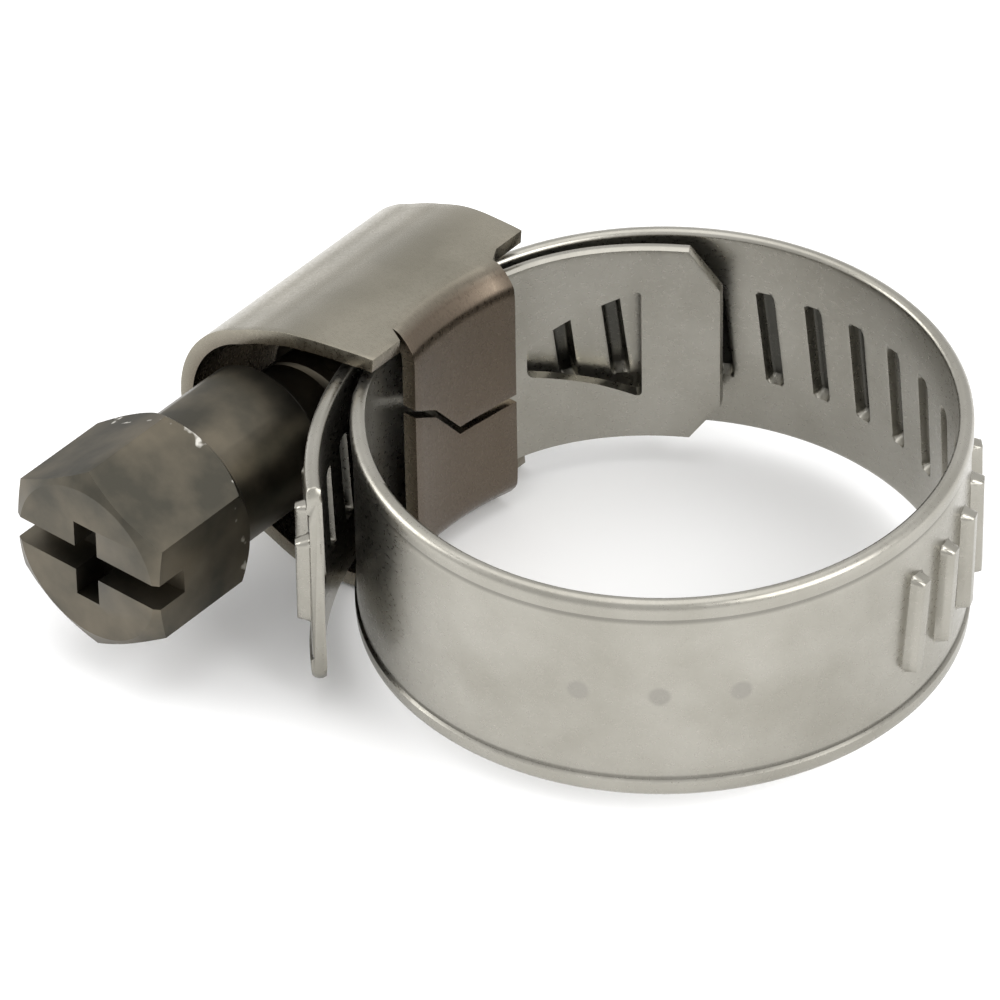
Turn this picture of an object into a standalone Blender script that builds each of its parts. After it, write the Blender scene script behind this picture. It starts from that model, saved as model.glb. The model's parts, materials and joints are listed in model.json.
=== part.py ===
"""Worm-drive hose clamp, 9 mm band: strip band, pressed housing, hex-head screw."""
import math

import bmesh
import bpy
from mathutils import Matrix, Vector

for old in list(bpy.data.objects):
    bpy.data.objects.remove(old, do_unlink=True)

MM = 0.001

# driving dimensions, millimetres and degrees
RING_R = 11.2          # mid-thickness radius of the open loop
BAND_T = 0.5           # strip thickness
BAND_HALF = 4.5        # half of the 9 mm band width
BEAD_W = 0.75          # width of the raised edge
BEAD_H = 0.08          # height of the raised edge
CHANNEL_R = 14.5       # mid-thickness radius of the strip inside the housing
CHANNEL_START = 160.0  # where the strip passes from the loop into the channel
LAYER_STEP = 0.85      # mid-to-mid distance of the two layers in the housing
TONGUE_R = 10.02       # mid-thickness radius at the tip of the inner tongue
TONGUE_TIP = 116.0
TOOTH_PITCH = 10.5     # degrees of loop per tooth
TOOTH_FIRST = 65.0     # one tooth's centre, the others are whole pitches away
TOOTH_LOW = 2.0        # first tooth of the row
TOOTH_LAST = 243.5     # last tooth of the row
TOOTH_H = 0.5
TOOTH_HALF = 2.15      # half of the tooth's length across the band
TOOTH_SLANT = 0.583    # degrees of slant per millimetre of width
HINGES = (-97.75, -45.25, 7.25, 59.75, 112.25)
TAIL_END = 246.6
FLEX_GAP = 0.3
SCREW_X = -14.4
WORM_R = 2.55
ROOT_R = 1.95
WORM_PITCH = 2.112
WORM_MID = -1.1       # centre of one thread turn on the band side
WORM_Y = (-4.9, 3.2)
NECK_R = 2.95
NECK_END = -5.95
HEAD_Y = (-16.0, -10.7)
HEAD_AF = 7.0
HEAD_SLOT_W = 1.1
HEAD_SLOT_D = 1.5
HOUSING_Y = (-6.0, 4.2)
ARCH_X = -13.95        # centre of the round nose of the housing
ARCH_R = 4.3           # mid-wall radius of the nose
WALL_T = 0.6
SIDE_Z = 5.25          # mid-wall half width of the side walls
SIDE_FOOT = -10.3      # inner edge of the side walls
TAB_Y = (-3.5, 2.1)
TAB_R = 12.3           # mid-wall radius of the folded tabs
ORIGIN = Vector((-3.30071, -2.03224, -5.55))

CHANNEL_C = Vector((math.cos(math.radians(CHANNEL_START)),
                    math.sin(math.radians(CHANNEL_START)))) * (RING_R - CHANNEL_R)


def polar(radius, degrees):
    a = math.radians(degrees)
    return Vector((radius * math.cos(a), radius * math.sin(a)))


def material(name, colour, metallic, roughness):
    mat = bpy.data.materials.new(name)
    mat.use_nodes = True
    shader = mat.node_tree.nodes["Principled BSDF"]
    shader.inputs["Base Color"].default_value = (*colour, 1.0)
    shader.inputs["Metallic"].default_value = metallic
    shader.inputs["Roughness"].default_value = roughness
    return mat


def place(point):
    return (Vector(point) - ORIGIN) * MM


def make_object(name, points, faces, mat, origin=(0.0, 0.0, 0.0), smooth=False):
    base = place(origin) if origin != (0.0, 0.0, 0.0) else Vector()
    mesh = bpy.data.meshes.new(name)
    mesh.from_pydata([place(p) - base for p in points], [], faces)
    bm = bmesh.new()
    bm.from_mesh(mesh)
    bmesh.ops.recalc_face_normals(bm, faces=bm.faces)
    bm.to_mesh(mesh)
    bm.free()
    if smooth:
        mesh.shade_smooth()
    obj = bpy.data.objects.new(name, mesh)
    obj.location = base
    bpy.context.scene.collection.objects.link(obj)
    mesh.materials.append(mat)
    return obj


def sheet(grid_out, grid_in, cells):
    """Close a sheet from two point grids; only the listed cells are filled."""
    points = []
    index = {}

    def vertex(side, r, c):
        key = (side, r, c)
        if key not in index:
            index[key] = len(points)
            points.append((grid_out if side == 0 else grid_in)[r][c])
        return index[key]

    faces = []
    edges = {}
    for r, c in sorted(cells):
        ring = ((r, c), (r + 1, c), (r + 1, c + 1), (r, c + 1))
        faces.append([vertex(0, *p) for p in ring])
        faces.append([vertex(1, *p) for p in reversed(ring)])
        for a, b in zip(ring, ring[1:] + ring[:1]):
            if (b, a) in edges:
                del edges[(b, a)]
            else:
                edges[(a, b)] = True
    for a, b in edges:
        faces.append([vertex(0, *b), vertex(0, *a), vertex(1, *a), vertex(1, *b)])
    return points, faces


def free_path(s):
    """Centre and outward direction of the strip at loop angle s."""
    if s <= CHANNEL_START:
        return polar(RING_R, s), polar(1.0, s)
    a = CHANNEL_START + (s - CHANNEL_START) * RING_R / CHANNEL_R
    return CHANNEL_C + polar(CHANNEL_R, a), polar(1.0, a)


def fixed_radius(s):
    """Polar radius of the fixed layer: tongue, channel, then the loop."""
    if s <= CHANNEL_START:
        share = max(0.0, min(1.0, (s - TONGUE_TIP) / (CHANNEL_START - TONGUE_TIP)))
        ease = share * share * (3.0 - 2.0 * share)
        return TONGUE_R + (RING_R - LAYER_STEP - TONGUE_R) * ease
    e = polar(1.0, s)
    along = CHANNEL_C.dot(e)
    inner = CHANNEL_R - LAYER_STEP
    channel = along + math.sqrt(along * along + inner * inner - CHANNEL_C.length_squared)
    return 0.5 * (channel + RING_R - math.sqrt((channel - RING_R) ** 2 + 0.012))


def fixed_path(s):
    here = polar(fixed_radius(s), s)
    ahead = polar(fixed_radius(s + 0.05), s + 0.05)
    along = (ahead - here).normalized()
    return here, Vector((along.y, -along.x))


def band_profile(z):
    """Outer offset of the strip's face at height z, with the raised edges."""
    edge = BAND_HALF - BEAD_W
    return BAND_T / 2 + (BEAD_H if abs(z) > edge + 0.01 else 0.0)


Z_ROWS = (-4.5, -3.85, -3.7, -2.15, -1.85, 1.85, 2.15, 3.7, 3.85, 4.5)


def slant(z):
    middle = max(-TOOTH_HALF, min(TOOTH_HALF, z))
    fade = 1.0 if abs(z) <= TOOTH_HALF else max(0.0, (3.7 - abs(z)) / (3.7 - TOOTH_HALF))
    return middle * TOOTH_SLANT * fade


def columns(start, end, teeth):
    """Stations along the strip as (angle, slant share, tooth height share)."""
    cols = [(start, 0.0, 0.0)]
    for t in teeth:
        for shift, rise in ((-2.0, 0.0), (-1.1, 1.0), (1.1, 1.0), (2.0, 0.0)):
            cols.append((t + shift, 1.0, rise))
    cols.append((end, 0.0, 0.0))
    filled = []
    for a, b in zip(cols, cols[1:]):
        filled.append(a)
        span = b[0] - a[0]
        count = max(1, math.ceil(span / 4.4))
        for k in range(1, count):
            share = k / count
            lean = a[1] + (b[1] - a[1]) * share
            filled.append((a[0] + span * share, lean * 0.5, 0.0))
    filled.append(cols[-1])
    return filled


def teeth_between(start, end):
    first = math.ceil((TOOTH_LOW - TOOTH_FIRST) / TOOTH_PITCH - 0.01)
    last = math.floor((TOOTH_LAST - TOOTH_FIRST) / TOOTH_PITCH + 0.01)
    places = [TOOTH_FIRST + TOOTH_PITCH * k for k in range(first, last + 1)]
    return [p for p in places if start + 2.5 < p < end - 2.2]


def strip_grids(path, cols, half=None):
    grid_out = []
    grid_in = []
    for z in Z_ROWS:
        row_out = []
        row_in = []
        for angle, lean, rise in cols:
            width = half(angle) if half else 1.0
            mid, out = path(angle + slant(z) * lean)
            lift = TOOTH_H * rise if abs(z) < 2.0 else 0.0
            outer = mid + out * (band_profile(z) + lift)
            inner = mid + out * (-BAND_T / 2 + 0.9 * lift)
            row_out.append((outer.x, outer.y, z * width))
            row_in.append((inner.x, inner.y, z * width))
        grid_out.append(row_out)
        grid_in.append(row_in)
    return grid_out, grid_in


def all_cells(rows, cols):
    return {(r, c) for r in range(rows - 1) for c in range(cols - 1)}


STEEL_BAND = (0.56, 0.55, 0.52)
GAP_ANGLE = math.degrees(FLEX_GAP / 2 / RING_R)


def tail_width(angle):
    """The free end's corners are drawn in over its last degree."""
    share = max(0.0, min(1.0, (angle - (TAIL_END - 1.2)) / 1.2))
    return 1.0 - 0.1 * share * share


def build_moving_band():
    ends = HINGES[1:] + (TAIL_END,)
    for number, (start, end) in enumerate(zip(HINGES, ends), 1):
        last = number == len(HINGES)
        a = start + GAP_ANGLE
        b = end if last else end - GAP_ANGLE
        cols = columns(a, b, teeth_between(start, end))
        grids = strip_grids(free_path, cols, tail_width if last else None)
        points, faces = sheet(*grids, all_cells(len(Z_ROWS), len(cols)))
        mat = material(f"band_steel_{number}", STEEL_BAND, 1.0, 0.32)
        pivot = polar(RING_R, start)
        name = f"band_stretch_{number}" if not last else "band_free_end"
        make_object(name, points, faces, mat, (pivot.x, pivot.y, 0.0))


def build_fixed_band():
    """Tongue with its window, the layer in the housing and the loop's start."""
    end = 360.0 + HINGES[0] - GAP_ANGLE
    tip = [TONGUE_TIP, 119.5, 123.0, 128.0]
    window = [133.5, 137.5, 142.0, 146.5, 151.0, 155.0, 159.0]
    rest = [162.5 + (end - 162.5) * k / 27 for k in range(28)]
    angles = tip + window + rest
    rows = (-4.5, -3.85, -3.7, -2.6, -0.9, 0.9, 2.6, 3.7, 3.85, 4.5)
    grid_out = []
    grid_in = []
    for r, z in enumerate(rows):
        row_out = []
        row_in = []
        for s in angles:
            height = z
            if s < 123.0:
                height = z * (0.62 + 0.38 * (s - TONGUE_TIP) / 7.0)
            if 133.0 < s < 160.0 and r in (3, 6):
                height = math.copysign(2.55 - 1.85 * (s - 133.5) / 25.5, z)
            if 133.0 < s < 160.0 and r in (4, 5):
                height = z * 0.5
            mid, out = fixed_path(s)
            bead = band_profile(z) if s > 212.0 else BAND_T / 2
            outer = mid + out * bead
            inner = mid - out * BAND_T / 2
            row_out.append((outer.x, outer.y, height))
            row_in.append((inner.x, inner.y, height))
        grid_out.append(row_out)
        grid_in.append(row_in)
    cells = all_cells(len(rows), len(angles))
    for c in range(len(tip), len(tip) + len(window) - 1):
        for r in (3, 4, 5):
            cells.discard((r, c))
    points, faces = sheet(grid_out, grid_in, cells)
    mat = material("band_steel_fixed", STEEL_BAND, 1.0, 0.32)
    make_object("band_fixed_end", points, faces, mat)


def housing_profile():
    """Mid-wall points (x, z) and outward normals over one half, arch to foot."""
    path = []
    for k in range(9):
        a = math.radians(180.0 - 8.5 * k)
        path.append((ARCH_X + ARCH_R * math.cos(a), ARCH_R * math.sin(a)))
    path += [(-14.7, 4.42), (-14.1, 4.66), (-13.5, 4.9), (-12.9, 5.09)]
    path += [(-12.2, 5.21), (-11.4, SIDE_Z), (SIDE_FOOT, SIDE_Z)]
    return path


def offset_path(path, distance):
    """Shift a polyline sideways; to the left of travel is positive."""
    result = []
    for i, point in enumerate(path):
        before = Vector(path[max(i - 1, 0)])
        after = Vector(path[min(i + 1, len(path) - 1)])
        here = Vector(point)
        d1 = (here - before).normalized() if i else (after - here).normalized()
        d2 = (after - here).normalized() if i < len(path) - 1 else d1
        mean = (d1 + d2).normalized()
        normal = Vector((-mean.y, mean.x))
        scale = 1.0 / max(0.5, normal.dot(Vector((-d1.y, d1.x))))
        result.append(here + normal * distance * scale)
    return result


def tab_bow(y):
    """The tabs are bowed to lie along the strip they are folded under."""
    return TAB_R - math.sqrt(TAB_R ** 2 - (y - CHANNEL_C.y) ** 2)


def side_foot(y):
    """How far the side wall's free edge reaches past its usual foot."""
    if y < TAB_Y[0] - 0.1:
        return 0.95
    return 0.1 if y > TAB_Y[1] + 0.1 else tab_bow(y)


def near_edge(x, y):
    """The near edge leans in a little along the side wall."""
    if y > HOUSING_Y[0] + 0.1:
        return y
    return y + 0.55 * max(0.0, min(1.0, (x + 12.4) / 3.0))


def housing_sections():
    """Outer and inner section of the shell, tab end to tab end, and the tab's point count."""
    half = housing_profile()
    lower = [(x, -z) for x, z in reversed(half)]
    section = lower[:-1] + half
    tab = [(SIDE_FOOT, SIDE_Z), (-9.99, 5.12), (-9.66, 4.76), (-9.52, 4.3), (-9.52, 2.2), (-9.52, 0.17)]
    sides = []
    for distance in (WALL_T / 2, -WALL_T / 2):
        wall = [tuple(p) for p in offset_path(section, distance)]
        upper_tab = [tuple(p) for p in offset_path(tab, distance)[1:]]
        lower_tab = [(x, -z) for x, z in reversed(upper_tab)]
        sides.append(lower_tab + wall + upper_tab)
    return sides[0], sides[1], len(tab) - 1


def housing_rows(section, tab_points, ys):
    """Carry one face of the shell's section along the screw's direction."""
    total = len(section)
    rows = []
    for r, (x0, z0) in enumerate(section):
        is_tab = r < tab_points or r >= total - tab_points
        row = []
        for y in ys:
            shift = tab_bow(y) if is_tab else 0.0
            if r in (tab_points, total - tab_points - 1):
                shift = side_foot(y)
            x = x0 + shift
            z = z0
            if r in (0, total - 1):
                z = seam(y) + math.copysign(0.17, z0)
            if r in (1, total - 2):
                z = 0.5 * (seam(y) + math.copysign(4.3, z0))
            row.append((x, near_edge(x, y), z))
        rows.append(row)
    return rows


def housing_cells(section, tab_points, ys):
    """The tabs are narrower than the shell, and the far wall closes only its arch."""
    total = len(section)
    cells = set()
    for r in range(total - 1):
        tab_cell = r < tab_points or r >= total - tab_points - 1
        for c in range(len(ys) - 1):
            inside = TAB_Y[0] - 0.01 <= ys[c] and ys[c + 1] <= TAB_Y[1] + 0.01
            if not tab_cell or inside:
                cells.add((r, c))
    arch = [r for r in range(total) if section[r][0] <= SCREW_X + 0.02]
    for r in arch[:-1]:
        cells.add((r, len(ys) - 1))
    return cells


def build_housing():
    ys = [HOUSING_Y[0], TAB_Y[0], -2.1, -0.7, 0.7, TAB_Y[1], HOUSING_Y[1]]
    outer, inner, tab_points = housing_sections()
    rows_out = housing_rows(outer, tab_points, ys)
    rows_in = housing_rows(inner, tab_points, ys)
    add_end_wall(rows_out, rows_in)
    points, faces = sheet(rows_out, rows_in, housing_cells(outer, tab_points, ys))
    mat = material("housing_steel", (0.62, 0.59, 0.53), 1.0, 0.3)
    make_object("housing", points, faces, mat)


def seam(y):
    """Height of the slanting joint between the two folded tabs."""
    knots = ((-3.5, 2.0), (-2.1, 1.1), (-0.7, -0.55), (0.7, -0.6), (2.1, -0.5))
    for (y0, z0), (y1, z1) in zip(knots, knots[1:]):
        if y <= y1:
            return z0 + (z1 - z0) * max(0.0, (y - y0) / (y1 - y0))
    return knots[-1][1]


def add_end_wall(rows_out, rows_in):
    """Turn the arch's far end inwards, towards the screw's end pin."""
    far = HOUSING_Y[1]
    for r in range(len(rows_out)):
        x, y, z = rows_out[r][-1]
        away = Vector((x - SCREW_X, z))
        to_pin = away.normalized() * 2.05
        rows_out[r].append((SCREW_X + to_pin.x, far, to_pin.y))
        rows_in[r].append((SCREW_X + to_pin.x, far - WALL_T, to_pin.y))
        if x <= SCREW_X + 0.02:
            x, y, z = rows_in[r][-2]
            rows_in[r][-2] = (x, far - WALL_T, z)


def solid_of_rings(rings):
    """Closed body from a list of equal rings, ends filled."""
    points = [p for ring in rings for p in ring]
    n = len(rings[0])
    faces = [list(range(n))[::-1], list(range(len(points) - n, len(points)))]
    for k in range(len(rings) - 1):
        for i in range(n):
            a = k * n + i
            b = k * n + (i + 1) % n
            faces.append([a, b, b + n, a + n])
    return points, faces


def turned(profile, segments=32):
    """Rings about the screw axis for (y, radius) pairs."""
    rings = []
    for y, radius in profile:
        ring = []
        for i in range(segments):
            a = 2 * math.pi * i / segments
            ring.append((SCREW_X + radius * math.cos(a), y, -radius * math.sin(a)))
        rings.append(ring)
    return solid_of_rings(rings)


def combine(target, tool, operation):
    mod = target.modifiers.new("join", "BOOLEAN")
    mod.object = tool
    mod.operation = operation
    mod.solver = "EXACT"
    graph = bpy.context.evaluated_depsgraph_get()
    graph.update()
    mesh = bpy.data.meshes.new_from_object(target.evaluated_get(graph))
    target.modifiers.clear()
    target.data = mesh
    bpy.data.objects.remove(tool, do_unlink=True)


def thread_body(mat):
    """The worm's thread: a right-hand ribbon about the screw axis."""
    steps = 24
    first = WORM_Y[0] + 0.75
    last = WORM_Y[1] - 0.75
    turns = (last - first) / WORM_PITCH
    count = math.ceil(turns * steps)
    rings = []
    for k in range(count + 1):
        y = first + (last - first) * k / count
        a = 2 * math.pi * (y - WORM_MID) / WORM_PITCH
        ring = []
        fade = min(1.0, k / 5, (count - k) / 5)
        crest = ROOT_R - 0.1 + (WORM_R - ROOT_R + 0.1) * fade
        for dy, r in ((-0.62, ROOT_R - 0.3), (-0.3, crest), (0.3, crest), (0.62, ROOT_R - 0.3)):
            ring.append((SCREW_X + r * math.cos(a), y + dy, -r * math.sin(a)))
        rings.append(ring)
    return make_object("thread", *solid_of_rings(rings), mat)


def hex_head(mat):
    corner = HEAD_AF / 2 / math.cos(math.radians(30))
    y0, y1 = HEAD_Y
    rings = []
    for y in (y0, y1):
        ring = []
        for i in range(6):
            a = math.radians(30 + 60 * i)
            ring.append((SCREW_X + corner * math.cos(a), y, -corner * math.sin(a)))
        rings.append(ring)
    head = make_object("head", *solid_of_rings(rings), mat)
    cone = turned([(y0, 3.35), (y0 + 0.5, corner + 0.25),
                   (y1 - 1.0, corner + 0.25), (y1, 3.35)], 36)
    combine(head, make_object("cone", *cone, mat), "INTERSECT")
    for box in slot_boxes(y0):
        combine(head, make_object("slot", *box, mat), "DIFFERENCE")
    return head


def box_body(x0, x1, y0, y1, z0, z1):
    ring0 = [(x0, y0, z0), (x1, y0, z0), (x1, y0, z1), (x0, y0, z1)]
    ring1 = [(x, y1, z) for x, _, z in ring0]
    return solid_of_rings([ring0, ring1])


def slot_boxes(y0):
    """Straight driver slot across the face and the short arm of the cross."""
    half = HEAD_SLOT_W / 2
    deep = y0 + HEAD_SLOT_D
    long_arm = box_body(SCREW_X - 5, SCREW_X + 5, y0 - 1, deep, -half, half)
    short_arm = box_body(SCREW_X - half, SCREW_X + half, y0 - 1, deep, -1.7, 1.7)
    return long_arm, short_arm


def build_screw():
    mat = material("screw_steel", (0.33, 0.31, 0.27), 1.0, 0.38)
    profile = [(-12.0, NECK_R), (NECK_END, NECK_R), (NECK_END + 0.4, ROOT_R)]
    profile += [(WORM_Y[1], ROOT_R), (WORM_Y[1] + 0.15, 1.7), (HOUSING_Y[1] + 0.2, 1.7)]
    screw = make_object("screw", *turned(profile), mat)
    combine(screw, thread_body(mat), "UNION")
    combine(screw, hex_head(mat), "UNION")
    pivot = place((SCREW_X, -11.0, 0.0))
    screw.data.transform(Matrix.Translation(-pivot))
    screw.location = pivot
    screw.data.materials.clear()
    screw.data.materials.append(mat)


build_housing()
build_fixed_band()
build_moving_band()
build_screw()
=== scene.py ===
import json
import math

import bmesh
import bpy
from mathutils import Matrix, Vector


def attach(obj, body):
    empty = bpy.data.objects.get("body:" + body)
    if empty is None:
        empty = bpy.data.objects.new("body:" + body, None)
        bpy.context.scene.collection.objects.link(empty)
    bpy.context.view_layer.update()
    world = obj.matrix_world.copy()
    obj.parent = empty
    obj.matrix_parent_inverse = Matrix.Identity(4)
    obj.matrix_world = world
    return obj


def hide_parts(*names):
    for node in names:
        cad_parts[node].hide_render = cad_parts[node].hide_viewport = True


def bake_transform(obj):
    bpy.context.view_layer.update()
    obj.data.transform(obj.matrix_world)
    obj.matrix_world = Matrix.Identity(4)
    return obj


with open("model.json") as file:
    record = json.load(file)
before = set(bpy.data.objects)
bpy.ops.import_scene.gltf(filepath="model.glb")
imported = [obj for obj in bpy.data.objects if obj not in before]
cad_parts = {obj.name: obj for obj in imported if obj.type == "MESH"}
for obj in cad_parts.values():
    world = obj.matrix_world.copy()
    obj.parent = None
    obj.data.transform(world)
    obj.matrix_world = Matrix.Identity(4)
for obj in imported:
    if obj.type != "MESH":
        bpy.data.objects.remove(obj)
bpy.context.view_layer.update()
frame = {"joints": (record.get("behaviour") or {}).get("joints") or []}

# The strip's loop: a 9 mm band of half-millimetre stainless, its two edges
# rolled up a little, with slanting teeth pressed outwards from the inside. It
# is bent round cold, and passes through the housing on a wider curve.
LOOP_R = 11.2
THICK = 0.5
EDGE = 4.5
ROLLED_EDGE = 0.08
ROLLED_ABOVE = 3.8
CREASE = (3.74, 3.62)
CREASE_DEPTH = 0.03
# How strongly painted shade darkens the two creases on the outer face, as a dark line where shade falls.
CREASE_SHADE = 0.45
PASS_R = 14.5
PASS_FROM = 160.0
TOOTH_STEP = 10.5
FIRST_TOOTH = 2.0
TOOTH_COUNT = 24
TOOTH_HEIGHT = 0.5
TOOTH_REACH = 2.15
TOOTH_LEAN = 0.583
LEAN_ENDS = 3.7
LEAN_SPAN = 4.0
TOOTH_CREST = 0.12
TOOTH_STRAIGHT = 1.82
TOOTH_FOOT = 0.28
TOOTH_WALL = 0.17
TOOTH_HOLLOW = 0.92
TOOTH_STATIONS = (0.0, 0.1, 0.19, 0.26, 0.32, 0.38, 0.44, 0.56)
OPEN_STEP = 1.3
SCREW_X = -14.4
HINGE_Y = -11.0
screw_hinge = next(joint for joint in frame["joints"] if joint["name"] == "screw_turn")
HOME = Vector((SCREW_X, HINGE_Y, 0.0)) - 1000.0 * Vector(screw_hinge["pos_m"])


def at(x, y, z):
    """Millimetres from the loop's centre to the frame's metres."""
    return ((x - HOME.x) * 0.001, (y - HOME.y) * 0.001, (z - HOME.z) * 0.001)


def around(radius, degrees):
    """A point in a plane, from its radius and its angle in degrees."""
    a = math.radians(degrees)
    return Vector((radius * math.cos(a), radius * math.sin(a)))


PASS_AT = around(LOOP_R - PASS_R, PASS_FROM)


def free_line(s):
    """Middle of the strip and its outward direction, s degrees round the loop."""
    if s <= PASS_FROM:
        return around(LOOP_R, s), around(1.0, s)
    a = PASS_FROM + (s - PASS_FROM) * LOOP_R / PASS_R
    return PASS_AT + around(PASS_R, a), around(1.0, a)


def strip_section():
    """Once round the strip's section: (height, offset, which face)."""
    rolled = [4.3, 4.08, 3.92, 3.82, *CREASE]
    tooth_end = [2.32, 2.2, 2.1, 2.0, 1.9, 1.78]
    upper = rolled + [3.5, 3.2, 2.6] + tooth_end + [1.5, 1.0, 0.5]
    heights = upper + [0.0] + [-h for h in reversed(upper)]
    outer = []
    for h in heights:
        lift = ROLLED_EDGE if abs(h) > ROLLED_ABOVE else 0.0
        if abs(h) in CREASE:
            lift = -CREASE_DEPTH
        if abs(h) == heights[0]:
            lift = 0.75 * ROLLED_EDGE
        outer.append((h, THICK / 2 + lift, 1))
    low = [(-EDGE + 0.06, 0.2, 0), (-EDGE, 0.05, 0), (-EDGE, -0.1, 0), (-EDGE + 0.08, -0.23, 0)]
    inner = [(-h, -THICK / 2, -1) for h in heights]
    high = [(-h, offset, 0) for h, offset, face in reversed(low)]
    return outer + low + inner + high


def tooth_rise(across, height):
    """1 on a tooth's crest and 0 on the flat strip, in millimetres from its middle."""
    dx = abs(across) - TOOTH_CREST
    dz = abs(height) - TOOTH_STRAIGHT
    far = math.hypot(max(dx, 0.0), max(dz, 0.0))
    share = max(0.0, min(1.0, (TOOTH_FOOT - far) / TOOTH_WALL))
    return share * share * (3.0 - 2.0 * share)


def tooth_lean(height):
    """Degrees round the loop that a slanting tooth leans at a height; none at the edges."""
    middle = max(-TOOTH_REACH, min(TOOTH_REACH, height))
    fade = min(1.0, max(0.0, (LEAN_ENDS - abs(height)) / (LEAN_ENDS - TOOTH_REACH)))
    return middle * TOOTH_LEAN * fade


def teeth_between(start, end):
    row = [FIRST_TOOTH + TOOTH_STEP * k for k in range(TOOTH_COUNT)]
    return [t for t in row if start < t < end]


def stations(start, end, teeth):
    """Stations along a length: close on a tooth's walls, wide between teeth."""
    stops = {round(start, 4), round(end, 4)}
    for t in teeth:
        for step in TOOTH_STATIONS:
            for side in (-1, 1):
                stops.add(round(t + side * step / math.radians(LOOP_R), 4))
    ordered = sorted(stops)
    full = []
    for a, b in zip(ordered, ordered[1:]):
        count = max(1, math.ceil((b - a) / OPEN_STEP))
        full += [a + (b - a) * k / count for k in range(count)]
    return full + [ordered[-1]]


def faces_outward(mesh):
    bm = bmesh.new()
    bm.from_mesh(mesh)
    bmesh.ops.recalc_face_normals(bm, faces=bm.faces)
    bm.to_mesh(mesh)
    bm.free()


def place_body(name, points, faces):
    mesh = bpy.data.meshes.new(name)
    mesh.from_pydata(points, [], faces)
    faces_outward(mesh)
    obj = bpy.data.objects.new(name, mesh)
    bpy.context.scene.collection.objects.link(obj)
    return obj


def mark_points(mesh, name, amounts):
    mark = mesh.attributes.new(name, "FLOAT", "POINT")
    mark.data.foreach_set("value", amounts)


def hold_grain(obj, steel):
    """Give a finished piece its steel, with the grain fixed to where the metal is at rest."""
    mesh = obj.data
    places = mesh.attributes.new("rest_place", "FLOAT_VECTOR", "POINT")
    places.data.foreach_set("vector", [x for v in mesh.vertices for x in v.co])
    mesh.materials.clear()
    mesh.materials.append(steel)


def strip_mesh(name, line, stops, teeth, squeeze=None, capped=False, plain_to=None):
    """A length of strip along a line. squeeze narrows it; its edges stay plain before plain_to."""
    rows = strip_section()
    points = []
    dent_and_crease_shades = []
    for s in stops:
        near = min(teeth, key=lambda t: abs(t - s)) if teeth else None
        tied = 1.0 if near is not None and abs(near - s) < LEAN_SPAN else 0.0
        narrow = squeeze(s) if squeeze else 1.0
        for height, offset, face in rows:
            mid, out = line(s + tooth_lean(height) * tied)
            rise = 0.0
            if near is not None and face:
                rise = tooth_rise((s - near) * math.radians(LOOP_R), height)
            if plain_to and s < plain_to:
                offset = min(offset, THICK / 2)
            pressed = TOOTH_HEIGHT if face > 0 else TOOTH_HOLLOW * TOOTH_HEIGHT
            p = mid + out * (offset + rise * pressed)
            points.append(at(p.x, p.y, height * narrow))
            # Painted shade: the inner face darkens in the tooth dents, and the outer face along the
            # creases.
            crease_shade = CREASE_SHADE if face > 0 and abs(height) in CREASE else 0.0
            dent_and_crease_shades.append(rise * rise if face < 0 else crease_shade)
    n = len(rows)
    faces = []
    for c in range(len(stops) - 1):
        for r in range(n):
            a = c * n + r
            b = c * n + (r + 1) % n
            faces.append((a, b, b + n, a + n))
    if capped:
        faces.append(tuple(range(n))[::-1])
        faces.append(tuple(range(len(points) - n, len(points))))
    obj = place_body(name, points, faces)
    mark_points(obj.data, "dent_and_crease_shade", dent_and_crease_shades)
    obj.data.shade_smooth()
    obj.data.set_sharp_from_angle(angle=math.radians(50.0))
    return obj


PUNCH_RIM = 0.0005
PUNCH_FLOOR = 0.0003


def mix_colour(nodes, link, factor, under, over):
    """Lay a colour over another by a factor; returns the mixed colour's socket."""
    mix = nodes.new("ShaderNodeMix")
    mix.data_type = "RGBA"
    mix.inputs["B"].default_value = (*over, 1.0)
    link(factor, mix.inputs["Factor"])
    link(under, mix.inputs["A"])
    return mix.outputs["Result"]


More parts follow.
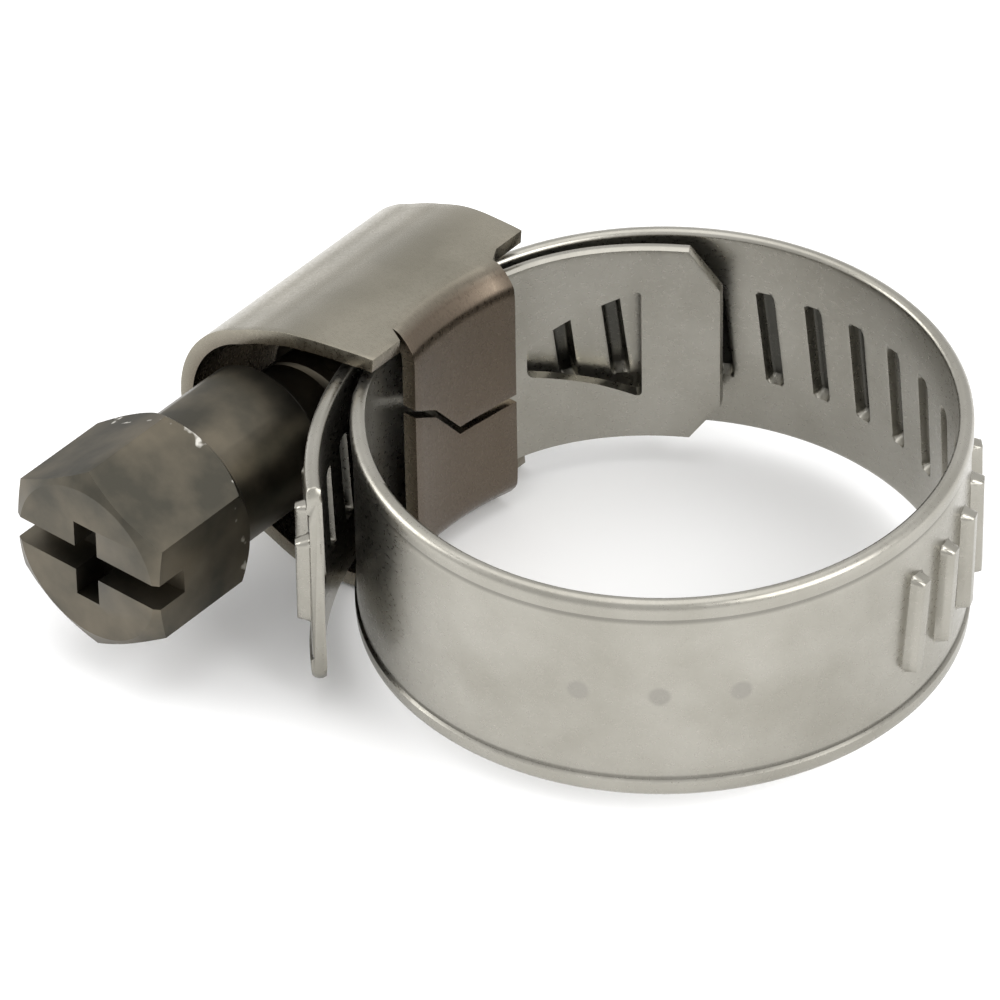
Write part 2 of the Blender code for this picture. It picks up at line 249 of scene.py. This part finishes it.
def sheet_steel(name, light, dark, rough, grain_stretch, punch_marks=()):
    """Rolled and tumbled sheet: fine grain, faint smears, and painted shade in the dents, along the
    creases and over the housing's tabs and inner faces.
    """
    mat = bpy.data.materials.new(name)
    mat.use_nodes = True
    nodes = mat.node_tree.nodes
    link = mat.node_tree.links.new
    shader = nodes["Principled BSDF"]
    shader.inputs["Metallic"].default_value = 1.0
    where = nodes.new("ShaderNodeAttribute")
    where.attribute_name = "rest_place"
    stretch = nodes.new("ShaderNodeMapping")
    stretch.inputs["Scale"].default_value = grain_stretch
    link(where.outputs["Vector"], stretch.inputs["Vector"])
    grain = nodes.new("ShaderNodeTexNoise")
    grain.inputs["Scale"].default_value = 5200.0
    grain.inputs["Detail"].default_value = 4.0
    link(stretch.outputs["Vector"], grain.inputs["Vector"])
    smear = nodes.new("ShaderNodeTexNoise")
    smear.inputs["Scale"].default_value = 260.0
    smear.inputs["Detail"].default_value = 3.0
    link(where.outputs["Vector"], smear.inputs["Vector"])
    spread = nodes.new("ShaderNodeMapRange")
    spread.inputs["From Min"].default_value = 0.35
    spread.inputs["From Max"].default_value = 0.65
    link(smear.outputs["Fac"], spread.inputs["Value"])
    tone = nodes.new("ShaderNodeMix")
    tone.data_type = "RGBA"
    tone.inputs["A"].default_value = (*dark, 1.0)
    tone.inputs["B"].default_value = (*light, 1.0)
    link(spread.outputs["Result"], tone.inputs["Factor"])
    colour = tone.outputs["Result"]
    # Painted shade: the strip's dents and creases, and the housing's tabs and inner faces, are darkened
    # in the colour.
    for mark, shade_colour in (("dent_and_crease_shade", (0.07, 0.068, 0.06)), ("shell_shade", (0.1, 0.074, 0.054))):
        place = nodes.new("ShaderNodeAttribute")
        place.attribute_name = mark
        colour = mix_colour(nodes, link, place.outputs["Fac"], colour, shade_colour)
    for spot in punch_marks:
        apart = nodes.new("ShaderNodeVectorMath")
        apart.operation = "DISTANCE"
        apart.inputs[1].default_value = spot
        link(where.outputs["Vector"], apart.inputs[0])
        press = nodes.new("ShaderNodeMapRange")
        press.interpolation_type = "SMOOTHSTEP"
        press.inputs["From Min"].default_value = PUNCH_RIM
        press.inputs["From Max"].default_value = PUNCH_FLOOR
        link(apart.outputs["Value"], press.inputs["Value"])
        colour = mix_colour(nodes, link, press.outputs["Result"], colour, (0.28, 0.268, 0.24))
    link(colour, shader.inputs["Base Color"])
    gloss = nodes.new("ShaderNodeMapRange")
    gloss.inputs["From Min"].default_value = 0.3
    gloss.inputs["From Max"].default_value = 0.7
    gloss.inputs["To Min"].default_value = rough - 0.05
    gloss.inputs["To Max"].default_value = rough + 0.07
    link(grain.outputs["Fac"], gloss.inputs["Value"])
    link(gloss.outputs["Result"], shader.inputs["Roughness"])
    bump = nodes.new("ShaderNodeBump")
    bump.inputs["Strength"].default_value = 0.03
    bump.inputs["Distance"].default_value = 0.00002
    link(grain.outputs["Fac"], bump.inputs["Height"])
    link(bump.outputs["Normal"], shader.inputs["Normal"])
    return mat


# Each length of the loop reaches from the middle of one stiff stretch to the
# middle of the next, across the line where the strip flexes between them. Three
# plain punch marks stand where a real strip carries its size.
PUNCHED_AT = (-66.5, -51.5, -36.5)
punch_marks = [at(*around(LOOP_R + THICK / 2, s), 0.2) for s in PUNCHED_AT]
strip_steel = sheet_steel(
    "strip steel", (0.36, 0.346, 0.308), (0.302, 0.289, 0.252), 0.3, (1.0, 1.0, 1.6), punch_marks
)


def after_tooth(k):
    """Midway between one tooth and the next, counted from the first tooth."""
    return FIRST_TOOTH + TOOTH_STEP * (k + 0.5)


FLEX_LINES = [after_tooth(k) for k in (-10, -5, 0, 5, 10)]
FREE_END_FROM = after_tooth(12)
JOINS = (-118.0, -71.5, -19.0, after_tooth(3), after_tooth(8), FREE_END_FROM)
STRETCHES = ["housing"] + [f"band_stretch_{k}" for k in (1, 2, 3, 4)] + ["band_free_end"]
for k, flex in enumerate(FLEX_LINES):
    start, end = JOINS[k], JOINS[k + 1]
    teeth = teeth_between(start, end)
    length = strip_mesh(f"loop_length_{k + 1}", free_line, stations(start, end, teeth), teeth)
    hold_grain(length, strip_steel)
    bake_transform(length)
    if k < len(FLEX_LINES) - 1:
        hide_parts(STRETCHES[k + 1])


# The free end: the last length of the same strip. It runs through the housing
# under the screw and out on the head's side, where it is sheared off and its
# corners are drawn in.
TAIL_END = 246.6
PLAIN_TAIL = 2.6
CORNER_SPAN = 1.2
CORNER_DRAW = 0.1


def tail_width(s):
    share = max(0.0, min(1.0, (s - TAIL_END + CORNER_SPAN) / CORNER_SPAN))
    return 1.0 - CORNER_DRAW * share * share


tail_teeth = teeth_between(FREE_END_FROM, TAIL_END - PLAIN_TAIL)
tail_stops = stations(FREE_END_FROM, TAIL_END, tail_teeth)
tail = strip_mesh("free_end_with_teeth", free_line, tail_stops, tail_teeth, tail_width, True)
hold_grain(tail, strip_steel)
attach(tail, "band_free_end")
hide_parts("band_free_end")


# The fixed end: the strip's other end, hooked into the housing under the free
# layer. It runs on inside the loop as a plain tongue, its tip narrowed and a
# tapering window punched through it.
TONGUE_TIP = 116.0
TONGUE_R = 10.02
TONGUE_RISE = 0.33
TIP_SPAN = 7.0
TIP_WIDTH = 0.62
LAYER_STEP = 0.85
LAYER_EASE = 0.012
ROLLED_FROM = 212.0
FIXED_END = 242.0
WINDOW = ((133.5, 2.55), (159.5, 0.7), (159.5, -0.7), (133.5, -2.55))


def fixed_radius(s):
    """Radius of the fixed layer: the tongue's own, then just inside the free layer's."""
    if s <= PASS_FROM:
        share = max(0.0, min(1.0, (s - TONGUE_TIP) / (PASS_FROM - TONGUE_TIP)))
        return TONGUE_R + TONGUE_RISE * share * share * (3.0 - 2.0 * share)
    along = PASS_AT.dot(around(1.0, s))
    under = PASS_R - LAYER_STEP
    radius = along + math.sqrt(along * along + under * under - PASS_AT.length_squared)
    return 0.5 * (radius + LOOP_R - math.sqrt((radius - LOOP_R) ** 2 + LAYER_EASE))


def fixed_line(s):
    here = around(fixed_radius(s), s)
    step = (around(fixed_radius(s + 0.05), s + 0.05) - here).normalized()
    return here, Vector((step.y, -step.x))


def tongue_width(s):
    share = min(1.0, (s - TONGUE_TIP) / TIP_SPAN)
    return TIP_WIDTH + (1.0 - TIP_WIDTH) * share


def shape_with(obj, kind, settings, tool=None):
    """Run one modifier on a piece and keep its result as the mesh."""
    change = obj.modifiers.new("shape", kind)
    for setting, value in settings.items():
        setattr(change, setting, value)
    graph = bpy.context.evaluated_depsgraph_get()
    graph.update()
    obj.data = bpy.data.meshes.new_from_object(obj.evaluated_get(graph))
    obj.modifiers.clear()
    if tool:
        bpy.data.objects.remove(tool, do_unlink=True)


def combine(obj, tool, operation):
    shape_with(obj, "BOOLEAN", {"object": tool, "operation": operation, "solver": "EXACT"}, tool)


tip_stops = [TONGUE_TIP + k for k in range(8)]
run_stops = [TONGUE_TIP + 8.0 + OPEN_STEP * k for k in range(89)]
fixed_stops = tip_stops + run_stops + [FIXED_END - 2.0, FIXED_END]
tongue = strip_mesh(
    "fixed_end_and_tongue", fixed_line, fixed_stops, [], tongue_width, True, ROLLED_FROM
)
punch_points = []
for s, z in WINDOW:
    for radius in (TONGUE_R - 1.02, LOOP_R):
        p = around(radius, s)
        punch_points.append(at(p.x, p.y, z))
punch_faces = [(0, 2, 4, 6), (7, 5, 3, 1), (0, 1, 3, 2), (2, 3, 5, 4), (4, 5, 7, 6), (6, 7, 1, 0)]
punch_mesh = bpy.data.meshes.new("window_punch")
punch_mesh.from_pydata(punch_points, [], punch_faces)
punch = bpy.data.objects.new("window_punch", punch_mesh)
bpy.context.scene.collection.objects.link(punch)
corners = punch.modifiers.new("corners", "BEVEL")
corners.width = 0.0003
corners.segments = 4
corners.limit_method = "NONE"
combine(tongue, punch, "DIFFERENCE")
tongue.data.set_sharp_from_angle(angle=math.radians(40.0))
hold_grain(tongue, strip_steel)
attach(tongue, "housing")
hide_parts("band_fixed_end")


# The housing: one stamped shell of 0.6 mm sheet, bent over the screw, down
# past the strip's edges and folded in under both layers, where its two tabs
# meet in a seam. The far end is turned in round the screw's pin.
housing_steel = sheet_steel(
    "housing steel", (0.29, 0.268, 0.218), (0.225, 0.208, 0.166), 0.28, (1.0, 1.6, 1.0)
)
ARCH_X = -13.95
ARCH_R = 4.3
WALL = 0.6
NEAR_END = -6.0
FAR_END = 4.2
TAB_Y = (-3.5, 2.1)
TAB_R = 12.3
TAB_TOP = 4.3
SEAM_GAP = 0.17
PIN_HOLE = 2.05
NEAR_FOOT = 0.95
FAR_FOOT = 0.1
FOOT_X = (-11.4, 1.1)
NEAR_CUT = 0.55
NEAR_CUT_X = (-12.4, 3.0)
NEAR_CUT_Y = 2.5
# Painted reflection and shade: the outer face turns darker and browner into the tabs, and the whole
# inner face of the shell is darkened.
TAB_SHADE = 0.85
INSIDE_SHADE = 0.5
SHADE_FADE = 5.0
SEAM = ((-3.5, 2.0), (-2.1, 1.1), (-0.7, -0.55), (0.7, -0.6), (2.1, -0.5))
SHELL_STATIONS = (
    NEAR_END, -5.7, -5.2, -4.6, -4.0, -3.5, -2.9, -2.1, -1.4, -0.7,
    0.0, 0.7, 1.4, 2.1, 2.7, 3.3, 3.8, FAR_END,
)


def curve_through(knots, steps):
    """Rounded curve through a few knots."""
    out = []
    for i in range(len(knots) - 1):
        p0 = Vector(knots[max(i - 1, 0)])
        p1, p2 = Vector(knots[i]), Vector(knots[i + 1])
        p3 = Vector(knots[min(i + 2, len(knots) - 1)])
        for k in range(steps):
            t = k / steps
            q = 2 * p1 + (p2 - p0) * t + (2 * p0 - 5 * p1 + 4 * p2 - p3) * t * t
            q += (3 * p1 - p0 - 3 * p2 + p3) * t ** 3
            out.append(q * 0.5)
    return out + [Vector(knots[-1])]


def shell_half():
    """Half of the shell's section from its crown to the seam, and where the tab starts."""
    nose = []
    for k in range(9):
        p = around(ARCH_R, 180.0 - 8.5 * k)
        nose.append((ARCH_X + p.x, p.y))
    flank = [(-14.7, 4.42), (-14.1, 4.66), (-13.5, 4.9), (-12.9, 5.09), (-12.2, 5.21)]
    side = [(-11.4, 5.25), (-10.3, 5.25)]
    tab = [(-9.99, 5.12), (-9.66, 4.76), (-9.52, TAB_TOP), (-9.52, 2.2), (-9.52, SEAM_GAP)]
    return curve_through(nose + flank + side + tab, 3), 3 * (len(nose) + len(flank) + 1)


def tab_bow(y):
    """How far the tabs bow towards the loop's middle, to follow the strip's curve."""
    return TAB_R - math.sqrt(TAB_R ** 2 - (y - PASS_AT.y) ** 2)


def side_foot(y):
    """How far the side wall's free edge reaches past its knot."""
    if TAB_Y[0] - 0.01 < y < TAB_Y[1] + 0.01:
        return tab_bow(y)
    return NEAR_FOOT if y < 0 else FAR_FOOT


def seam_height(y):
    """Height of the stepped seam between the tabs."""
    for (y0, z0), (y1, z1) in zip(SEAM, SEAM[1:]):
        if y <= y1:
            return z0 + (z1 - z0) * max(0.0, (y - y0) / (y1 - y0))
    return SEAM[-1][1]


half, tab_from = shell_half()
section = [Vector((p.x, -p.y)) for p in reversed(half[1:])] + half
crown = len(half) - 1


def shell_row(i, sign):
    """One line of the shell along the screw, on its outer (+1) or inner (-1) face."""
    p = section[i]
    way = (section[min(i + 1, len(section) - 1)] - section[max(i - 1, 0)]).normalized()
    q = p + Vector((-way.y, way.x)) * sign * WALL / 2
    in_tab = abs(i - crown) > tab_from
    row = []
    for y in SHELL_STATIONS:
        if in_tab:
            x = q.x + tab_bow(y)
        else:
            x = q.x + side_foot(y) * max(0.0, min(1.0, (q.x - FOOT_X[0]) / FOOT_X[1]))
        z = q.y
        if in_tab and abs(p.y) < TAB_TOP:
            part = (TAB_TOP - abs(p.y)) / (TAB_TOP - SEAM_GAP)
            top = math.copysign(TAB_TOP, p.y)
            z = top + part * (seam_height(y) + math.copysign(SEAM_GAP, p.y) - top)
        inward = max(0.0, min(1.0, (x - NEAR_CUT_X[0]) / NEAR_CUT_X[1]))
        cut_back = NEAR_CUT * inward * max(0.0, (TAB_Y[0] - y) / NEAR_CUT_Y)
        row.append(at(x, y + cut_back, z))
    return row


def shell_cells():
    """Which cells of the grid are sheet: all of the arch, and the narrower tabs."""
    cells = set()
    for r in range(len(section) - 1):
        from_crown = min(abs(r - crown), abs(r + 1 - crown))
        for c, (y0, y1) in enumerate(zip(SHELL_STATIONS, SHELL_STATIONS[1:])):
            if from_crown < tab_from or (y0 > TAB_Y[0] - 0.01 and y1 < TAB_Y[1] + 0.01):
                cells.add((r, c))
        if section[r].x <= SCREW_X + 0.02 and section[r + 1].x <= SCREW_X + 0.02:
            cells.add((r, len(SHELL_STATIONS) - 1))
    return cells


shell_grid = [[shell_row(i, sign) for i in range(len(section))] for sign in (1, -1)]
for i, p in enumerate(section):
    hole = Vector((p.x - SCREW_X, p.y)).normalized() * PIN_HOLE
    shell_grid[0][i].append(at(SCREW_X + hole.x, FAR_END, hole.y))
    shell_grid[1][i].append(at(SCREW_X + hole.x, FAR_END - WALL, hole.y))
    if p.x <= SCREW_X + 0.02:
        x, y, z = shell_grid[1][i][-2]
        shell_grid[1][i][-2] = (x, at(0.0, FAR_END - WALL, 0.0)[1], z)
shell_index = {}
shell_points = []
shell_shades = []


def shell_vertex(side, r, c):
    key = (side, r, c)
    if key not in shell_index:
        shell_index[key] = len(shell_points)
        shell_points.append(shell_grid[side][r][c])
        into_tab = max(0.0, min(1.0, (abs(r - crown) - tab_from + 1) / SHADE_FADE))
        # Painted shade: more of it deeper into the tabs, and a fixed amount on every inner face.
        shell_shades.append(TAB_SHADE * into_tab if side == 0 else INSIDE_SHADE)
    return shell_index[key]


shell_faces = []
rim = {}
for r, c in sorted(shell_cells()):
    ring = ((r, c), (r + 1, c), (r + 1, c + 1), (r, c + 1))
    shell_faces.append([shell_vertex(0, *p) for p in ring])
    shell_faces.append([shell_vertex(1, *p) for p in reversed(ring)])
    for a, b in zip(ring, ring[1:] + ring[:1]):
        if (b, a) in rim:
            del rim[(b, a)]
        else:
            rim[(a, b)] = True
for a, b in rim:
    wall = [shell_vertex(0, *b), shell_vertex(0, *a), shell_vertex(1, *a), shell_vertex(1, *b)]
    shell_faces.append(wall)
shell = place_body("housing_shell", shell_points, shell_faces)
mark_points(shell.data, "shell_shade", shell_shades)
shell.data.shade_smooth()
cut_edges = {"width": 0.00014, "segments": 3, "limit_method": "ANGLE", "angle_limit": math.radians(50.0)}
shape_with(shell, "BEVEL", cut_edges)
shell.data.set_sharp_from_angle(angle=math.radians(55.0))
hold_grain(shell, housing_steel)
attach(shell, "housing")
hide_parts("housing")


# The screw: hex head, neck, worm and end pin cold-formed and rolled in one
# piece of steel, left darker than the sheet. The head takes a 7 mm socket, a
# flat blade or a cross driver, and bright flecks round its rear rim are painted highlights.
NECK_R = 2.95
ROOT_R = 1.95
CREST_R = 2.55
WORM_PITCH = 2.112
WORM_MID = -1.1
WORM_Y = (-4.15, 2.45)
HEAD_Y = (-16.0, -10.7)
HEAD_FLATS = 7.0
SLOT_WIDTH = 1.1
SLOT_FLOOR = -14.5
SLOT_REACH = 5.0
CROSS_ARM = 1.7
GLINT_RIM_AT = -11.15
GLINT_BAND = 0.00045
THREAD_STEPS = 220
RUN_OUT_STEPS = 40


def dark_steel(name):
    """Cloudy dark steel, with small bright flecks painted round the head's rear rim as highlights."""
    mat = bpy.data.materials.new(name)
    mat.use_nodes = True
    nodes = mat.node_tree.nodes
    link = mat.node_tree.links.new
    shader = nodes["Principled BSDF"]
    shader.inputs["Metallic"].default_value = 1.0
    where = nodes.new("ShaderNodeTexCoord")
    cloud = nodes.new("ShaderNodeTexNoise")
    cloud.inputs["Scale"].default_value = 420.0
    cloud.inputs["Detail"].default_value = 5.0
    link(where.outputs["Object"], cloud.inputs["Vector"])
    tone = nodes.new("ShaderNodeValToRGB")
    tone.color_ramp.elements[0].position = 0.35
    tone.color_ramp.elements[0].color = (0.066, 0.062, 0.05, 1.0)
    tone.color_ramp.elements[1].position = 0.68
    tone.color_ramp.elements[1].color = (0.14, 0.122, 0.092, 1.0)
    link(cloud.outputs["Fac"], tone.inputs["Fac"])
    glint_noise = nodes.new("ShaderNodeTexNoise")
    glint_noise.inputs["Scale"].default_value = 1500.0
    link(where.outputs["Object"], glint_noise.inputs["Vector"])
    glint_flecks = nodes.new("ShaderNodeMapRange")
    glint_flecks.inputs["From Min"].default_value = 0.6
    glint_flecks.inputs["From Max"].default_value = 0.68
    link(glint_noise.outputs["Fac"], glint_flecks.inputs["Value"])
    along = nodes.new("ShaderNodeSeparateXYZ")
    link(where.outputs["Object"], along.inputs["Vector"])
    rear_rim = nodes.new("ShaderNodeMath")
    rear_rim.operation = "COMPARE"
    rear_rim.inputs[1].default_value = at(0.0, GLINT_RIM_AT, 0.0)[1]
    rear_rim.inputs[2].default_value = GLINT_BAND
    link(along.outputs["Y"], rear_rim.inputs[0])
    painted_glint = nodes.new("ShaderNodeMath")
    painted_glint.operation = "MULTIPLY"
    link(glint_flecks.outputs["Result"], painted_glint.inputs[0])
    link(rear_rim.outputs["Value"], painted_glint.inputs[1])
    # Painted highlight: bright flecks in a narrow band round the head's rear rim.
    colour = mix_colour(nodes, link, painted_glint.outputs["Value"], tone.outputs["Color"], (0.62, 0.6, 0.55))
    link(colour, shader.inputs["Base Color"])
    gloss = nodes.new("ShaderNodeMapRange")
    gloss.inputs["To Min"].default_value = 0.32
    gloss.inputs["To Max"].default_value = 0.5
    link(cloud.outputs["Fac"], gloss.inputs["Value"])
    link(gloss.outputs["Result"], shader.inputs["Roughness"])
    bump = nodes.new("ShaderNodeBump")
    bump.inputs["Strength"].default_value = 0.25
    bump.inputs["Distance"].default_value = 0.00006
    link(cloud.outputs["Fac"], bump.inputs["Height"])
    link(bump.outputs["Normal"], shader.inputs["Normal"])
    return mat


def body_of_rings(name, rings):
    """A closed body skinned over rings of points, with a flat face at both ends."""
    points = [p for ring in rings for p in ring]
    n = len(rings[0])
    faces = [tuple(range(n))[::-1], tuple(range(len(points) - n, len(points)))]
    for k in range(len(rings) - 1):
        for i in range(n):
            a = k * n + i
            b = k * n + (i + 1) % n
            faces.append((a, b, b + n, a + n))
    return place_body(name, points, faces)


def turned_ring(y, radius, sides, first=0.0):
    ring = []
    for i in range(sides):
        p = around(radius, -first - 360.0 * i / sides)
        ring.append(at(SCREW_X + p.x, y, p.y))
    return ring


def turned(name, profile, sides):
    return body_of_rings(name, [turned_ring(y, radius, sides) for y, radius in profile])


def worm_thread():
    """A right-hand ribbon wound on the root, run out at both ends."""
    rings = []
    count = THREAD_STEPS
    for k in range(count + 1):
        y = WORM_Y[0] + (WORM_Y[1] - WORM_Y[0]) * k / count
        out = around(1.0, -360.0 * (y - WORM_MID) / WORM_PITCH)
        share = min(1.0, k / RUN_OUT_STEPS, (count - k) / RUN_OUT_STEPS)
        crest = ROOT_R - 0.1 + (CREST_R - ROOT_R + 0.1) * share
        flank = ((-0.58, ROOT_R - 0.3), (-0.29, crest - 0.05), (-0.24, crest))
        profile = flank + tuple((-dy, r) for dy, r in reversed(flank))
        rings.append([at(SCREW_X + r * out.x, y + dy, r * out.y) for dy, r in profile])
    return body_of_rings("thread", rings)


def slot_block(half_x, half_z):
    rings = []
    for y in (HEAD_Y[0] - 1.0, SLOT_FLOOR):
        corners = ((-half_x, -half_z), (half_x, -half_z), (half_x, half_z), (-half_x, half_z))
        rings.append([at(SCREW_X + x, y, z) for x, z in corners])
    return body_of_rings("slot", rings)


neck = [(-11.2, NECK_R), (-6.05, NECK_R), (-5.95, 2.88), (-5.55, ROOT_R)]
pin = [(3.2, ROOT_R), (3.3, 1.85), (3.35, 1.7), (4.3, 1.7), (4.4, 1.6)]
screw = turned("screw_with_hex_head", neck + pin, 96)
combine(screw, worm_thread(), "UNION")
corner = HEAD_FLATS / 2 / math.cos(math.radians(30.0))
head = body_of_rings("head", [turned_ring(y, corner, 6, 30.0) for y in HEAD_Y])
front_cone = [(-16.0, 3.3), (-15.85, 3.55), (-15.5, 4.3)]
rear_cone = [(-11.7, 4.3), (-11.3, 4.0), (-10.9, 3.6), (-10.7, 3.35)]
combine(head, turned("chamfers", front_cone + rear_cone, 128), "INTERSECT")
combine(head, slot_block(SLOT_REACH, SLOT_WIDTH / 2), "DIFFERENCE")
combine(head, slot_block(SLOT_WIDTH / 2, CROSS_ARM), "DIFFERENCE")
combine(screw, head, "UNION")
worn_edges = {"width": 0.0001, "segments": 2, "limit_method": "ANGLE", "angle_limit": math.radians(25.0)}
shape_with(screw, "BEVEL", worn_edges)
screw.data.shade_smooth()
screw.data.set_sharp_from_angle(angle=math.radians(35.0))
screw.data.materials.clear()
screw.data.materials.append(dark_steel("screw steel"))
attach(screw, "screw")
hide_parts("screw")


# The stand: a plain pale table under the clamp, in a white room with three
# soft lamps.
TABLE_Z = -0.0002
TABLE_HALF = 2.0
table_corners = []
for x, y in ((-1, -1), (1, -1), (1, 1), (-1, 1)):
    table_corners.append((x * TABLE_HALF, y * TABLE_HALF, TABLE_Z))
table_mesh = bpy.data.meshes.new("table")
table_mesh.from_pydata(table_corners, [], [(0, 1, 2, 3)])
table = bpy.data.objects.new("table", table_mesh)
bpy.context.scene.collection.objects.link(table)
pale = bpy.data.materials.new("pale table")
pale.use_nodes = True
paint = pale.node_tree.nodes["Principled BSDF"]
paint.inputs["Base Color"].default_value = (0.95, 0.95, 0.95, 1.0)
paint.inputs["Roughness"].default_value = 0.9
paint.inputs["Specular IOR Level"].default_value = 0.1
table_mesh.materials.append(pale)

room = bpy.data.worlds.new("white room")
bpy.context.scene.world = room
room.use_nodes = True
room.node_tree.nodes["Background"].inputs["Color"].default_value = (1.0, 1.0, 1.0, 1.0)
room.node_tree.nodes["Background"].inputs["Strength"].default_value = 0.98


def soft_lamp(name, place, size, watts):
    """A square lamp turned towards the clamp."""
    light = bpy.data.lights.new(name, "AREA")
    light.size = size
    light.energy = watts
    obj = bpy.data.objects.new(name, light)
    obj.location = place
    obj.rotation_euler = (Vector((0, 0, 0.005)) - Vector(place)).to_track_quat("-Z", "Y").to_euler()
    bpy.context.scene.collection.objects.link(obj)


soft_lamp("top_lamp", (-0.05, 0.02, 0.4), 0.4, 0.6)
soft_lamp("left_lamp", (-0.25, -0.12, 0.14), 0.16, 0.35)
soft_lamp("right_lamp", (0.3, 0.02, 0.2), 0.25, 0.8)


# The camera looks down on the clamp from the open side of the loop, with the
# head at its lower left. Its place is given across, up and along its own view.
ELEVATION = math.radians(38.307)
FACING = math.radians(49.6)
ROLL = math.radians(1.014)
CAMERA_PLACE = (-6.025, 0.291, -338.85)
camera = bpy.data.cameras.new("camera")
camera.sensor_width = 36.0
camera.lens = 328.2
camera.clip_start = 0.01
eye = bpy.data.objects.new("camera", camera)
bpy.context.scene.collection.objects.link(eye)


def to_clamp(v):
    """Turn a direction from the camera's heading to the clamp's own axes."""
    across, away = math.sin(FACING), math.cos(FACING)
    return Vector((v.x * across - v.y * away, v.x * away + v.y * across, v.z))


ahead = Vector((0.0, math.cos(ELEVATION), -math.sin(ELEVATION)))
right = Vector((1.0, 0.0, 0.0))
up = right.cross(ahead)
across, above, along = CAMERA_PLACE
eye.location = at(*to_clamp(across * right + above * up + along * ahead))
right, up, ahead = to_clamp(right), to_clamp(up), to_clamp(ahead)
level = right * math.cos(ROLL) - up * math.sin(ROLL)
upright = right * math.sin(ROLL) + up * math.cos(ROLL)
eye.rotation_euler = Matrix((level, upright, -ahead)).transposed().to_euler()
bpy.context.scene.camera = eye
bpy.context.scene.view_settings.view_transform = "Standard"
